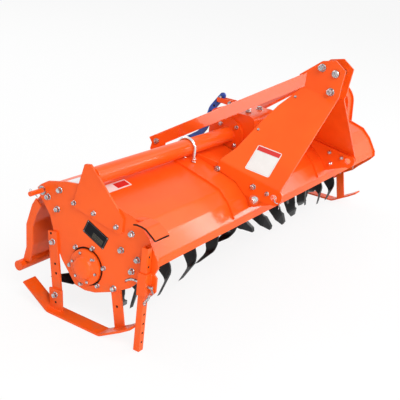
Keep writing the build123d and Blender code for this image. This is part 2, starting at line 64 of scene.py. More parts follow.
# ------------------------------------------------------------------------ orange enamel
# Every sheet, tube and plate of the frame is sprayed with one glossy orange enamel. It
# runs a little uneven, thins at the edges and holds a film of dust where hands don't go.
class Wire:
    """One value in a shader. Arithmetic adds Math nodes, and make adds any other node."""

    def __init__(self, socket):
        self.socket = socket

    def make(self, kind, settings=(), sockets=(), out=0):
        tree = self.socket.id_data
        node = tree.nodes.new(kind)
        for name, value in dict(settings).items():
            if name == "stops":
                ramp = node.color_ramp.elements
                while len(ramp) < len(value):
                    ramp.new(0.5)
                for element, (position, colour) in zip(ramp, value):
                    element.position, element.color = position, colour
            else:
                setattr(node, name, value)
        for name, value in dict(sockets).items():
            if isinstance(value, Wire):
                tree.links.new(value.socket, node.inputs[name])
            else:
                node.inputs[name].default_value = value
        return Wire(node.outputs[out])

    def maths(self, operation, other=0.0, swap=False):
        pair = {0: other, 1: self} if swap else {0: self, 1: other}
        return self.make("ShaderNodeMath", {"operation": operation}, pair)

    def __add__(self, other):
        return self.maths("ADD", other)

    def __sub__(self, other):
        return self.maths("SUBTRACT", other)

    def __rsub__(self, other):
        return self.maths("SUBTRACT", other, swap=True)

    def __mul__(self, other):
        return self.maths("MULTIPLY", other)

    def between(self, low, high):
        """0 below low and 1 above high, clamped; low may be the larger."""
        limits = {"Value": self, "From Min": low, "From Max": high}
        settings = {"clamp": True, "interpolation_type": "SMOOTHSTEP"}
        return self.make("ShaderNodeMapRange", settings, limits)

    def noise(self, scale, detail=3.0, rough=0.55):
        sizes = {"Vector": self, "Scale": scale, "Detail": detail, "Roughness": rough}
        return self.make("ShaderNodeTexNoise", {}, sizes)

    def mix(self, first, second):
        """Colour: first where this value is 0, second where it is 1."""
        sockets = {0: self, 6: first, 7: second}
        return self.make("ShaderNodeMix", {"data_type": "RGBA"}, sockets, out=2)

    def bump(self, strength, distance, under=None):
        """A surface direction from this height, laid over another one."""
        sockets = {"Height": self, "Strength": strength, "Distance": distance}
        if under:
            sockets["Normal"] = under
        return self.make("ShaderNodeBump", {}, sockets)


def new_finish(name, **fixed):
    """A material, its surface shader and its Object coordinates."""
    material = bpy.data.materials.new(name)
    material.use_nodes = True
    surface = material.node_tree.nodes["Principled BSDF"]
    for socket, value in fixed.items():
        surface.inputs[socket.replace("_", " ")].default_value = value
    place = Wire(material.node_tree.nodes.new("ShaderNodeTexCoord").outputs["Object"])
    return material, surface, place


def feed(surface, **values):
    tree = surface.id_data
    for socket, value in values.items():
        tree.links.new(value.socket, surface.inputs[socket.replace("_", " ")])


def rounded(place, radius=0.0016):
    """Surface directions that soften the sharp edges of cut and folded steel."""
    return place.make("ShaderNodeBevel", {"samples": 4}, {"Radius": radius})


def orange_enamel(name, coat):
    material, surface, place = new_finish(
        name, Coat_Roughness=0.10, IOR=1.45, Specular_IOR_Level=0.2,
    )
    cloud = place.noise(2.6, 4.0)
    peel = place.noise(330.0, 1.0)
    height = place.make("ShaderNodeSeparateXYZ", {}, {0: place}, out=2)
    dust = height.between(0.34, 0.03) * place.noise(19.0, 6.0, 0.7).between(0.44, 0.74)
    paint = cloud.between(0.32, 0.68).mix((0.88, 0.092, 0.006, 1), (0.97, 0.118, 0.010, 1))
    colour = (dust * 0.35).mix(paint, (0.40, 0.17, 0.08, 1))
    feed(
        surface, Base_Color=colour, Roughness=cloud * 0.14 + dust * 0.25 + 0.24,
        Coat_Weight=coat - dust * 0.14, Normal=peel.bump(0.05, 0.0005, rounded(place)),
    )
    return material


def black_enamel():
    material, surface, place = new_finish("black enamel", IOR=1.5, Specular_IOR_Level=0.3)
    grain = place.noise(60.0, 5.0, 0.7)
    scratch = place.noise(26.0, 6.0, 0.75).between(0.60, 0.76)
    paint = grain.between(0.45, 0.75).mix((0.004, 0.004, 0.005, 1), (0.013, 0.013, 0.015, 1))
    colour = (scratch * 0.4).mix(paint, (0.070, 0.070, 0.075, 1))
    feed(
        surface, Base_Color=colour, Roughness=grain * 0.35 + 0.22,
        Normal=grain.bump(0.12, 0.0008, rounded(place)),
    )
    return material


def blue_enamel():
    material, surface, place = new_finish("blue enamel", IOR=1.45, Coat_Weight=0.3)
    cloud = place.noise(30.0, 4.0)
    colour = cloud.between(0.3, 0.7).mix((0.006, 0.045, 0.33, 1), (0.012, 0.075, 0.48, 1))
    feed(surface, Base_Color=colour, Roughness=cloud * 0.2 + 0.24, Normal=rounded(place))
    return material


def bright_zinc(name, dark, light, rough, mottle=0.3):
    material, surface, place = new_finish(name, Metallic=1.0)
    grain = place.noise(180.0, 4.0, 0.65)
    colour = grain.between(0.35, 0.65).mix(dark, light)
    feed(
        surface, Base_Color=colour, Roughness=grain * mottle + rough,
        Normal=grain.bump(0.25 * mottle, 0.0003),
    )
    return material


finish_for = {
    "orange_paint": orange_enamel("orange enamel", 0.16),
    "black_steel": black_enamel(),
    "blue_paint": blue_enamel(),
    "zinc": bright_zinc("bright zinc", (0.20, 0.20, 0.21, 1), (0.70, 0.70, 0.71, 1), 0.12),
    "bare_steel": bright_zinc("bare steel", (0.34, 0.33, 0.32, 1), (0.58, 0.57, 0.55, 1), 0.22),
}
polished_zinc = bright_zinc(
    "polished zinc", (0.68, 0.68, 0.69, 1), (0.82, 0.82, 0.82, 1), 0.12, mottle=0.1,
)
thick_enamel = orange_enamel("thick orange enamel", 0.8)
for entry in frame["record"]["subparts"]:
    mesh = nodes[entry["node"]].data
    thick = entry["node"].startswith("brace_") and entry["node"] != "brace_lugs"
    mesh.materials.clear()
    mesh.materials.append(thick_enamel if thick else finish_for[entry["material_slot"]])

# --------------------------------------------------------------- side plate bolts
# Zinc plated hexagon bolts with washers hold the hood, the straps and the end plate to
# the side plates, and run in threaded bosses that are low and round on the inside.
def finished(name, shape, body, slot, finish=None, crease=35):
    """A bmesh becomes a piece that moves with its body and takes the slot's finish."""
    bmesh.ops.recalc_face_normals(shape, faces=shape.faces)
    mesh = bpy.data.meshes.new(name)
    shape.to_mesh(mesh)
    shape.free()
    mesh.shade_smooth()
    mesh.set_sharp_from_angle(angle=radians(crease))
    mesh.materials.append(finish or finish_for[slot])
    thing = bpy.data.objects.new(name, mesh)
    bpy.context.scene.collection.objects.link(thing)
    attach(thing, body)
    return thing


def pattern(shape):
    """A finished bmesh kept as a mesh, to be copied many times."""
    bmesh.ops.recalc_face_normals(shape, faces=shape.faces)
    mesh = bpy.data.meshes.new("pattern")
    shape.to_mesh(mesh)
    shape.free()
    return mesh


def copies(shape, mesh, places):
    """Adds a copy of the mesh to the shape at each place."""
    for place in places:
        before = len(shape.verts)
        shape.from_mesh(mesh)
        shape.verts.ensure_lookup_table()
        bmesh.ops.transform(shape, matrix=place, verts=shape.verts[before:])
    return shape


def facing(spot, direction, turn=0.0):
    """Moves what was made at the origin, pointing up, to a spot and points it elsewhere."""
    lean = Vector(direction).to_track_quat("Z", "Y").to_matrix().to_4x4()
    return Matrix.Translation(spot) @ lean @ Matrix.Rotation(turn, 4, "Z")


def disc(shape, radius, low, high, segments=24, top=None):
    """A round or many-sided plate on the Z axis, between two heights in millimetres."""
    bmesh.ops.create_cone(
        shape, cap_ends=True, segments=segments, radius1=radius / 1000,
        radius2=(radius if top is None else top) / 1000, depth=(high - low) / 1000,
        matrix=Matrix.Translation((0, 0, (high + low) / 2000)),
    )


def hexagon(shape, across, low, high):
    """A hexagon across its flats, chamfered at the top, as a bolt head or a nut."""
    corner = across / 2 / cos(pi / 6)
    disc(shape, corner, low, high - across * 0.07, 6)
    disc(shape, corner, high - across * 0.07, high, 6, top=corner * 0.86)
    bmesh.ops.remove_doubles(shape, verts=shape.verts, dist=1e-6)


def bolt_head(across, washer=True):
    shape = bmesh.new()
    lift = across * 0.14 if washer else 0
    hexagon(shape, across, lift, lift + across * 0.62)
    if washer:
        disc(shape, across * 0.69, 0, lift * 0.5, 20)
        disc(shape, across * 0.69, lift * 0.5, lift, 20, top=across * 0.64)
    return pattern(shape)


def nut_end(across, thread):
    shape = bmesh.new()
    washer, top, bolt = across * 0.12, across * 0.85, across * 0.30
    disc(shape, across * 0.67, 0, washer, 20)
    hexagon(shape, across, washer, top)
    disc(shape, bolt, top, top + thread, 12)
    disc(shape, bolt, top + thread, top + thread + 1, 12, top=across * 0.22)
    return pattern(shape)


big_head, middle_head, small_head = bolt_head(17), bolt_head(13), bolt_head(10, washer=False)
middle_nut = nut_end(13, 4)
low_head = bmesh.new()
disc(low_head, 10, 0, 1, 20)
disc(low_head, 10, 1, 2.8, 20, top=6)
low_head = pattern(low_head)
# distances from the middle plane: outer and inner face of a side plate, outer faces of
# the skid's rear strap and of its lug
PLATE_OUT, PLATE_IN, STRAP_OUT, LUG_OUT = 1000, 992, 1008, 1016
PLATE_BOLTS = [(195, 206), (142, 246), (149, 172), (-185, 184), (-147, 112), (-217, 99), (-198, 50)]
END_PLATE_BOLTS = [(67, 222), (-24, 211), (-124, 192)]
STRAP_BOLTS = [(157, 45), (126, -155)]
FRONT_STRAP_BOLT = (-127, -41)

heads, nuts = bmesh.new(), bmesh.new()
for sign in (-1, 1):
    out = (sign, 0, 0)
    side_bolts = PLATE_BOLTS + [FRONT_STRAP_BOLT] + (END_PLATE_BOLTS if sign > 0 else [])
    copies(heads, big_head, [
        facing(at(sign * PLATE_OUT, y, z), out, 0.4 + 1.7 * i)
        for i, (y, z) in enumerate(side_bolts)
    ])
    for (y, z), depth in zip(STRAP_BOLTS, (STRAP_OUT, LUG_OUT)):
        copies(heads, big_head, [facing(at(sign * depth, y, z), out, 0.2)])
    # inside, only low round heads fit beside the turning blades
    inner = [
        (y, z, PLATE_IN - 8 if (y, z) == FRONT_STRAP_BOLT else PLATE_IN) for y, z in side_bolts
    ]
    inner += [(*STRAP_BOLTS[0], PLATE_IN), (*STRAP_BOLTS[1], PLATE_OUT)]
    copies(nuts, low_head, [facing(at(sign * x, y, z), (-sign, 0, 0)) for y, z, x in inner])
copies(heads, middle_head, [
    facing(at(-STRAP_OUT, y, z), (-1, 0, 0), 0.7 * i) for i, (y, z) in enumerate(END_PLATE_BOLTS)
])
finished("side_plate_bolts", heads, "chassis", "zinc")
finished("side_plate_nuts", nuts, "chassis", "zinc")

# A bright clamp bar shows in the arc slot in front of the rotor.
def rod(points, radius, segments=10, closed=False):
    """A bent round wire through the points, as a mesh."""
    curve = bpy.data.curves.new("wire", "CURVE")
    curve.dimensions = "3D"
    curve.bevel_depth = radius / 1000
    curve.bevel_resolution = segments // 4
    curve.use_fill_caps = not closed
    spline = curve.splines.new("POLY")
    spline.points.add(len(points) - 1)
    for point, (x, y, z) in zip(spline.points, points):
        point.co = (x, y, z, 1)
    spline.use_cyclic_u = closed
    holder = bpy.data.objects.new("wire", curve)
    mesh = bpy.data.meshes.new_from_object(holder)
    bpy.data.objects.remove(holder)
    bpy.data.curves.remove(curve)
    return mesh


clamp_line = [(-176, 7), (-186, 14), (-199, 20), (-213, 22), (-225, 21)]
clamp = rod([at(1 - PLATE_OUT, y, z) for y, z in clamp_line], 4.2, 12)
finished("slot_clamp", copies(bmesh.new(), clamp, [Matrix.Identity(4)]), "chassis", "zinc")

# --------------------------------------------------------------- holes in the straps
# Spare holes let the skids be set higher or lower. Each is a punched hole with a slightly
# raised burr, and a near-black disc in it is painted shade.
# Painted shade: a near-black finish that stands in for the shade in holes and gaps.
painted_shade_black, surface, place = new_finish("inside of a hole", Roughness=0.9, Specular_IOR_Level=0.2)
speck = place.noise(90.0, 3.0)
feed(surface, Base_Color=speck.mix((0.010, 0.005, 0.003, 1), (0.035, 0.015, 0.008, 1)))


def holes(name, spots, radius, body, slot="orange_paint"):
    """Punched holes: a near-black disc of painted shade in a thin rim, at each place."""
    floor_shape, rim_shape = bmesh.new(), bmesh.new()
    disc(floor_shape, radius, 0, 0.3, 20)
    floor_mesh = pattern(floor_shape)
    bmesh.ops.create_circle(
        rim_shape, segments=20, radius=radius / 1000, matrix=Matrix.Translation((0, 0, 0.0001)),
    )
    rim = rim_shape.edges[:]
    for grow, rise in ((1.04, 0.0006), (1.10, 0.0006), (1.16, 0.0001)):
        lip = bmesh.ops.extrude_edge_only(rim_shape, edges=rim)["geom"]
        rim = [e for e in lip if isinstance(e, bmesh.types.BMEdge)]
        for vert in {v for e in rim for v in e.verts}:
            vert.co.xy = vert.co.xy.normalized() * radius * grow / 1000
            vert.co.z = rise
    rim_mesh = pattern(rim_shape)
    finished(name, copies(bmesh.new(), floor_mesh, spots), body, slot, finish=painted_shade_black)
    finished(name + "_rims", copies(bmesh.new(), rim_mesh, spots), body, slot)


strap_holes = []
for sign in (-1, 1):
    for y, z in ((168, 75), (141, -37), (134, -73)):
        strap_holes.append(facing(at(sign * STRAP_OUT, y, z), (sign, 0, 0)))
    strap_holes.append(facing(at(sign * LUG_OUT, 122, -184), (sign, 0, 0)))
    strap_holes.append(facing(at(sign * PLATE_IN, -141, -110), (sign, 0, 0)))
holes("strap_holes", strap_holes, 4.6, "chassis")

# ---------------------------------------------------------------- rotor bearing cover
# A cast cover closes the rotor bearing at the left side plate. It has a flat rim with six
# small screws, a raised round boss and a grease nipple, and is held by six flange bolts.
def turned(profile, segments=48):
    """A closed shape turned about the Z axis from (radius, height) points in millimetres."""
    shape = bmesh.new()
    ring = [shape.verts.new((r / 1000, 0, h / 1000)) for r, h in profile]
    edges = [shape.edges.new(pair) for pair in zip(ring, ring[1:])]
    bmesh.ops.spin(
        shape, geom=ring + edges, cent=(0, 0, 0), axis=(0, 0, 1), angle=2 * pi,
        steps=segments, use_merge=True,
    )
    bmesh.ops.remove_doubles(shape, verts=shape.verts, dist=1e-6)
    return shape


cover = turned([
    (0, 0), (65, 0), (66, 1), (66, 12), (64.5, 14), (60, 15), (46, 16.5), (43, 19), (41, 25),
    (37, 30), (29, 33), (14, 34), (0, 34),
], 64)
bmesh.ops.transform(cover, matrix=facing(at(-PLATE_OUT, 0, 0), (-1, 0, 0)), verts=cover.verts)
cover_piece = finished("bearing_cover", cover, "chassis", "orange_paint", crease=50)
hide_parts("bearing_cap")

FLANGE_BOLTS_R, RIM_SCREWS_R, RIM_OUT = 79, 54, 1014.6
screws = bmesh.new()
copies(screws, middle_head, [
    facing(at(-PLATE_OUT, FLANGE_BOLTS_R * cos(a), FLANGE_BOLTS_R * sin(a)), (-1, 0, 0), 2.1 * a)
    for a in (radians(-14 + 60 * k) for k in range(6))
])
copies(screws, small_head, [
    facing(at(-RIM_OUT, RIM_SCREWS_R * cos(a), RIM_SCREWS_R * sin(a)), (-1, 0, 0), 1.3 * a)
    for a in (radians(9 + 60 * k) for k in range(6))
])
nipple = bmesh.new()
hexagon(nipple, 8, 0, 4)
disc(nipple, 2.6, 4, 9, 12)
disc(nipple, 3.2, 9, 12, 12, top=2.4)
nipple = pattern(nipple)
copies(screws, nipple, [facing(at(-1015, -42, 42), (-1, -0.5, 0.6))])
finished("bearing_bolts", screws, "chassis", "zinc")

# Painted shadow: a black ring in the plate's hole round the cover stands in for the shade in the
# gap.
gap_shade_ring = turned([(66.4, 0), (71.6, 0), (71.6, 4), (66.4, 4), (66.4, 0)], 64)
bmesh.ops.transform(gap_shade_ring, matrix=facing(at(-994, 0, 0), (-1, 0, 0)), verts=gap_shade_ring.verts)
finished("bearing_gap", gap_shade_ring, "chassis", "black_steel", finish=painted_shade_black)

# ------------------------------------------------------------------------- data plate
# A black anodised plate, left blank, is held to the left side plate by four small rivets.
# A pale line runs round its field.
def in_plane(origin, across, upward):
    """Moves what was made flat on the origin to a plane, from its two edge directions."""
    x = Vector(across).normalized()
    z = x.cross(Vector(upward)).normalized()
    turn = Matrix((x, z.cross(x), z)).transposed().to_4x4()
    return Matrix.Translation(origin) @ turn


def sheet_shape(width, height, thickness, corner, steps=4):
    """A thin plate with rounded corners, flat on the origin, with a UV map over its face."""
    shape = bmesh.new()
    bmesh.ops.create_grid(shape, x_segments=1, y_segments=1, size=0.5)
    bmesh.ops.scale(shape, vec=(width / 1000, height / 1000, 1), verts=shape.verts)
    bmesh.ops.bevel(
        shape, geom=shape.verts[:], offset=corner / 1000, segments=steps, profile=0.5,
        affect="VERTICES", material=-1,
    )
    bmesh.ops.solidify(shape, geom=shape.faces[:], thickness=-thickness / 1000)
    lift = (0, 0, 0.0001 - min(vert.co.z for vert in shape.verts))
    bmesh.ops.translate(shape, vec=lift, verts=shape.verts)
    layer = shape.loops.layers.uv.new("UVMap")
    for face in shape.faces:
        for loop in face.loops:
            loop[layer].uv = (
                loop.vert.co.x / width * 1000 + 0.5, loop.vert.co.y / height * 1000 + 0.5,
            )
    return shape


def band(value, low, high, soft=0.004):
    """1 between two positions and 0 outside them."""
    return value.between(low - soft, low + soft) * value.between(high + soft, high - soft)


def uv_of(material):
    uv = Wire(material.node_tree.nodes.new("ShaderNodeUVMap").outputs["UV"])
    return (uv.make("ShaderNodeSeparateXYZ", {}, {0: uv}, out=k) for k in (0, 1))


black_plate, surface, place = new_finish("black data plate", Specular_IOR_Level=0.1)
across, upward = uv_of(black_plate)
outer = band(across, 0.035, 0.965) * band(upward, 0.06, 0.94)
inner = band(across, 0.050, 0.950) * band(upward, 0.085, 0.915)
field = band(across, 0.40, 0.88) * band(upward, 0.16, 0.52)
rows = (upward * 12.0).maths("FRACT")
fine = place.noise(240.0, 3.0)
base = fine.mix((0.004, 0.004, 0.006, 1), (0.010, 0.010, 0.013, 1))
gaps = rows.between(0.22, 0.30) * rows.between(0.98, 0.90)
ruled = (field * (1 - gaps) * 0.5).mix(base, (0.30, 0.28, 0.20, 1))
feed(
    surface, Base_Color=(outer - inner).mix(ruled, (0.10, 0.10, 0.10, 1)),
    Roughness=fine * 0.2 + 0.4,
)
plate = sheet_shape(103, 53, 1.2, 3)
data_place = in_plane(at(-PLATE_OUT, -31, 131.5), (0, -95, -41), (0, -19, 47))
bmesh.ops.transform(plate, matrix=data_place, verts=plate.verts)
finished("data_plate", plate, "chassis", "black_steel", finish=black_plate)

rivet = bmesh.new()
bmesh.ops.create_uvsphere(rivet, u_segments=12, v_segments=6, radius=0.0022)
bmesh.ops.scale(rivet, vec=(1, 1, 0.5), verts=rivet.verts)
rivet = pattern(rivet)
finished("data_plate_rivets", copies(bmesh.new(), rivet, [
    data_place @ Matrix.Translation((x / 1000, y / 1000, 0.0014))
    for x in (-48, 48) for y in (-23, 23)
]), "chassis", "zinc")

# --------------------------------------------------------------------- hinge rod ends
# The trailing board hangs on one long rod. A cotter pin and a washer hold it at each end.
def ring_of(radius, wire, segments=28):
    """A closed round ring on the origin."""
    points = [
        (radius / 1000 * cos(2 * pi * k / segments), radius / 1000 * sin(2 * pi * k / segments), 0)
        for k in range(segments)
    ]
    return rod(points, wire, closed=True)


eye_points = [(-0.020, 0.0009, 0), (0.012, 0.0009, 0)]
eye_points += [
    (0.0155 + 0.0042 * cos(a), 0.0042 * sin(a), 0)
    for a in (radians(130 - 26 * k) for k in range(11))
]
eye_points += [(0.012, -0.0009, 0), (-0.020, -0.0009, 0), (-0.026, -0.006, 0)]
cotter_mesh = rod(eye_points, 0.9, 8)
washer = bmesh.new()
disc(washer, 17, 0, 2.6, 28)
washer = pattern(washer)
HINGE = (225, 222)
ends = bmesh.new()
copies(ends, cotter_mesh, [
    facing(at(-1044, *HINGE), (1, 0.1, 0), 0.5), facing(at(1014, *HINGE), (1, 0.1, 0), 0.9),
])
copies(ends, washer, [facing(at(sign * PLATE_OUT, *HINGE), (sign, 0, 0)) for sign in (-1, 1)])
finished("hinge_rod_cotters", ends, "chassis", "zinc")

# ------------------------------------------------------------------- hitch mast bolts
# Two large bolts clamp the spacers between the head plates, and the top link pin hangs in
# the hole in front of them. Smaller bolts hold each mast foot to the cheek beside it.
mast = bmesh.new()
head_bolt = bolt_head(24)
head_nut = nut_end(24, 4)
# distances from the middle plane: outer face of the head, outer face of the mast's foot
# and inner face of the cheek beside it
HEAD_OUT, FOOT_OUT, CHEEK_IN = 45, 378, 358
for y, z in ((-357, 684), (-409, 596)):
    copies(mast, head_bolt, [facing(at(-HEAD_OUT, y, z), (-1, 0, 0), z)])
    copies(mast, head_nut, [facing(at(HEAD_OUT, y, z), (1, 0, 0), y)])
foot_bolts = [(-124, 265), (-292, 235), (-355, 224)]
for sign in (-1, 1):
    copies(mast, big_head, [
        facing(at(sign * FOOT_OUT, y, z), (sign, 0, 0), 0.8 * y) for y, z in foot_bolts[:2]
    ])
    copies(mast, middle_head, [facing(at(sign * FOOT_OUT, *foot_bolts[2]), (sign, 0, 0), 0.3)])
    copies(mast, middle_nut, [
        facing(at(sign * CHEEK_IN, y, z), (-sign, 0, 0), y) for y, z in foot_bolts
    ])
finished("mast_bolts", mast, "chassis", "zinc")

pin = turned([
    (0, 0), (13, 0), (15.5, 2), (16, 9), (15, 11), (12.6, 11), (12.6, 118), (10, 121), (0, 121),
], 32)
pin = copies(bmesh.new(), pattern(pin), [facing(at(-56, -419, 671), (1, 0, 0))])
copies(pin, ring_of(13, 1.6), [facing(at(58, -419, 664), (1, 0.15, 0.1))])
finished("top_link_pin", pin, "chassis", "zinc")

# The folded part of each mast plate slopes outwards and down, square to the fold line.
MAST_SLOPE = radians(10.8)
OUTWARD, UPWARD = 0.6838, 0.7298       # the sloping face's direction, along X and up the slope
FOLD_X, FOLD_HEIGHT = 43.7, 635.9      # its upper fold, from the middle plane and above the axis


def mast_face(sign, y, z):
    """The point of a mast plate's sloping outer face at this place in the side view."""
    height = -sin(MAST_SLOPE) * y + cos(MAST_SLOPE) * z
    return at(sign * (FOLD_X - (height - FOLD_HEIGHT) * 1.0673), y, z)


def mast_out(sign):
    return Vector((sign * OUTWARD, -sin(MAST_SLOPE) * UPWARD, cos(MAST_SLOPE) * UPWARD))


face_bolts = bmesh.new()
for sign in (-1, 1):
    copies(face_bolts, small_head, [
        facing(mast_face(sign, y, z), mast_out(sign), y) for y, z in ((-279, 553), (-209, 423))
    ])
finished("mast_face_bolts", face_bolts, "chassis", "zinc")

# ----------------------------------------------------------------------- mast labels
# A white adhesive label with a red heading sits low on the sloping face of each mast
# plate. It is blank apart from its coloured fields.
LABEL_RED = (0.62, 0.015, 0.010, 1)


def white_label(name):
    """A blank white label: its material, shader, face directions, film and colour."""
    material, surface, place = new_finish(name, Coat_Weight=0.35, Specular_IOR_Level=0.4)
    film = place.noise(34.0, 4.0)
    white = film.mix((0.72, 0.70, 0.67, 1), (0.82, 0.81, 0.79, 1))
    return material, surface, *uv_of(material), film, white


def label_finish(name, red_from, keyline):
    material, surface, across, upward, film, white = white_label(name)
    heading = upward.between(red_from - 0.006, red_from + 0.006)
    heading = heading * band(across, keyline, 1 - keyline) * upward.between(0.978, 0.968)
    line = band(across, keyline, 1 - keyline) * band(upward, keyline, red_from - 0.012)
    inside = band(across, keyline + 0.012, 0.988 - keyline)
    line = line - inside * band(upward, keyline + 0.012, red_from - 0.024)
    drawn = (line * 0.35).mix(white, (0.20, 0.20, 0.20, 1))
    feed(
        surface, Base_Color=heading.mix(drawn, LABEL_RED),
        Roughness=film * 0.2 + 0.3,
    )
    return material


tall_label = label_finish("label with red heading", 0.80, 0.03)
for name, sign in (("left", -1), ("right", 1)):
    label = sheet_shape(106, 118, 0.5, 7)
    upslope = Vector((-sign * UPWARD, -sin(MAST_SLOPE) * OUTWARD, cos(MAST_SLOPE) * OUTWARD))
    across_way = upslope.cross(mast_out(sign))
    where = in_plane(mast_face(sign, -292, 329), across_way, upslope)
    where = where @ Matrix.Rotation(radians(-5.5 * sign), 4, "Z")
    bmesh.ops.transform(label, matrix=where, verts=label.verts)
    finished(f"mast_label_{name}", label, "chassis", "orange_paint", finish=tall_label)

# ----------------------------------------------------------------------- deck markers
# A long label with a red end lies on the hood under the cross tube, and a white reflective
# strip lies on the rear of the hood beside the left side plate.
long_label, surface, across, upward, film, white = white_label("long label")
red_end = band(across, 0.52, 0.96) * band(upward, 0.14, 0.86)
feed(surface, Base_Color=red_end.mix(white, LABEL_RED), Roughness=film * 0.2 + 0.3)
label = sheet_shape(150, 40, 0.5, 3)
where = in_plane(at(-893, -15, 278.7), (1, 0.0, 0.0), (0, 1, 0.27))
bmesh.ops.transform(label, matrix=where, verts=label.verts)
finished("deck_label", label, "chassis", "orange_paint", finish=long_label)

reflective, surface, place = new_finish(
    "white reflective film", Coat_Weight=0.5, Specular_IOR_Level=0.6,
)
cells = place.make("ShaderNodeTexVoronoi", {}, {"Vector": place, "Scale": 260.0})
film = cells.between(0.1, 0.6)
feed(
    surface, Base_Color=film.mix((0.72, 0.74, 0.78, 1), (0.84, 0.85, 0.88, 1)),
    Roughness=film * 0.15 + 0.25,
)
# the strip is folded over a bend in the hood, which falls more steeply behind it
strip = sheet_shape(96, 104, 0.5, 4)
FOLD_Y, FALL_BEFORE, FALL_BEHIND = 0.014, 0.119, 0.263
bmesh.ops.bisect_plane(
    strip, geom=strip.verts[:] + strip.edges[:] + strip.faces[:], plane_co=(0, FOLD_Y, 0),
    plane_no=(0, 1, 0),
)
for vert in strip.verts:
    behind = vert.co.y - FOLD_Y
    vert.co.z -= FALL_BEFORE * behind if behind < 0 else FALL_BEHIND * behind
bmesh.ops.translate(strip, vec=at(-943, 98, 277.2), verts=strip.verts)
finished("reflective_strip", strip, "chassis", "orange_paint", finish=reflective)

# ---------------------------------------------------------------------------- U-bolts
# A zinc U-bolt over the cross tube clamps each hitch saddle. Its legs go down through the
# saddle, with a washer and a nut on the front leg and a bolt with a washer between the legs.
TUBE_RISE, TUBE_R, SADDLE_X = 333, 33, 430
u_bolts, u_nuts = bmesh.new(), bmesh.new()
leg_top = nut_end(15, 6)
for sign in (-1, 1):
    path = [(0, -39, -44), (0, -39, 0)]
    path += [(0, -39 * cos(a), 39 * sin(a)) for a in (radians(12 * k) for k in range(1, 15))]
    path += [(0, 39, 0), (0, 39, -48)]
    points = [at(sign * SADDLE_X + x, y, z + TUBE_RISE) for x, y, z in path]
    copies(u_bolts, rod(points, 6, 12), [Matrix.Identity(4)])
    copies(u_nuts, leg_top, [facing(at(sign * SADDLE_X, -39, 284), (0, -0.26, 1), 0.4)])
    copies(u_nuts, middle_head, [facing(at(sign * 434, 5, 294), (0, -0.26, 1), 0.9)])
copies(u_bolts, pattern(u_nuts), [Matrix.Identity(4)])
finished("u_bolts", u_bolts, "chassis", "zinc", finish=polished_zinc)

# ------------------------------------------------------------------ lower hitch bolts
# A large bolt with a broad bright washer clamps each mast foot and its cheek, just above
# the lower link ear.
broad = bmesh.new()
disc(broad, 21, 0, 2.4, 32)
hexagon(broad, 22, 2.4, 15)
disc(broad, 7.5, 15, 18, 16, top=5.5)
broad = pattern(broad)
pair = bmesh.new()
for sign in (-1, 1):
    copies(pair, broad, [facing(at(sign * FOOT_OUT, -305, 185), (sign, 0, 0), 0.5)])
    copies(pair, middle_nut, [facing(at(sign * CHEEK_IN, -305, 185), (-sign, 0, 0), 0.2)])
finished("lower_hitch_bolts", pair, "chassis", "zinc", finish=polished_zinc)

# --------------------------------------------------------------------- brace end bolts
# Each brace is bolted to its lug at the back of the hood, and to the head of the mast; here the
# bolt and nut at the lug are drawn.
brace_bolts = bmesh.new()
for sign in (-1, 1):
    along = Vector((sign * 305, 492, -324)).normalized()
    out = along.cross(Vector((0, 0, 1))).normalized() * sign
    out = out if out.x * sign > 0 else -out
    foot = at(sign * 350, 204, 298)
    copies(brace_bolts, big_head, [facing(foot + out * 0.013, out, 0.6)])
    copies(brace_bolts, middle_nut, [facing(foot - out * 0.003, -out, 0.2)])
finished("brace_bolts", brace_bolts, "chassis", "zinc")

# ---------------------------------------------------------------------------- gearbox
# The gearbox casting has a bolted rear cover, a bolted input boss with a rubber seal,
# flange bolts round each cross tube, a breather, and a level plug.
BOSS_FRONT, BOX_TOP, TUBE_FLANGE_OUT = -160, 432, 114
gear_bolts = bmesh.new()
copies(gear_bolts, small_head, [
    facing(at(56 * cos(a), 116, 350 + 56 * sin(a)), (0, 1, 0), a)
    for a in (radians(22.5 + 45 * k) for k in range(8))
])
copies(gear_bolts, small_head, [
    facing(at(41 * cos(a), BOSS_FRONT, TUBE_RISE + 41 * sin(a)), (0, -1, 0), a)
    for a in (radians(60 * k) for k in range(6))
])
for sign in (-1, 1):
    copies(gear_bolts, middle_head, [
        facing(at(sign * TUBE_FLANGE_OUT, 56 * cos(a), TUBE_RISE + 56 * sin(a)), (sign, 0, 0), a)
        for a in (radians(45 + 90 * k) for k in range(4))
    ])
finished("gearbox_bolts", gear_bolts, "chassis", "zinc")

seal = turned([(21.3, 0), (31, 0), (31, 2), (29, 3.4), (23, 3.4), (21.3, 2), (21.3, 0)], 40)
bmesh.ops.transform(seal, matrix=facing(at(0, BOSS_FRONT, TUBE_RISE), (0, -1, 0)), verts=seal.verts)
rubber, surface, place = new_finish("black rubber", Specular_IOR_Level=0.3)
fine = place.noise(210.0, 3.0)
black = fine.mix((0.010, 0.010, 0.011, 1), (0.022, 0.022, 0.024, 1))
feed(surface, Base_Color=black, Roughness=fine * 0.2 + 0.5)
finished("shaft_seal", seal, "chassis", "black_steel", finish=rubber)

plugs = bmesh.new()
breather = bmesh.new()
hexagon(breather, 22, 0, 9)
disc(breather, 8, 9, 15, 20)
disc(breather, 12, 15, 24, 24, top=8)
plug = bmesh.new()
disc(plug, 15, 0, 3, 24)
hexagon(plug, 19, 3, 13)
plug = pattern(plug)
copies(plugs, pattern(breather), [facing(at(-48, -52, BOX_TOP), (0, 0, 1), 0.3)])
copies(plugs, plug, [
    facing(at(52, -52, BOX_TOP), (0, 0, 1), 0.6), facing(at(-72, 104, 300), (0, 1, 0), 0.2),
])
finished("gearbox_plugs", plugs, "chassis", "zinc")

